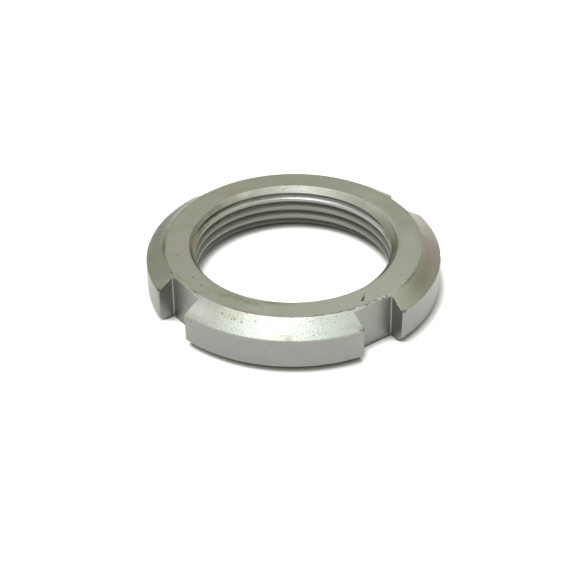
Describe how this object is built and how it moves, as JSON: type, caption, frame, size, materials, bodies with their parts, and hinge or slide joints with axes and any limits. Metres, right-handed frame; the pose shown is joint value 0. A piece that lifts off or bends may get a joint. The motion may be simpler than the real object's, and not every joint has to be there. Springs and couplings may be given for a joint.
{
  "type": "slotted round nut",
  "caption": "Flat round steel nut with a fine thread, a chamfered crown and slots across its rim for a hook spanner.",
  "frame": {"origin": "centre of the flat seat, where the thread's axis meets it", "axes": "+Z along the thread's axis, from the seat up to the chamfered crown; +X through the middle of a spanner slot"},
  "size_m": [0.042, 0.042, 0.0072],
  "materials": {
    "satin_steel": "satin, fine grained, as turned and milled, with light stains and small nicks"
  },
  "bodies": {
    "root": {"slotted_nut": "satin_steel"}
  },
  "joints": []
}
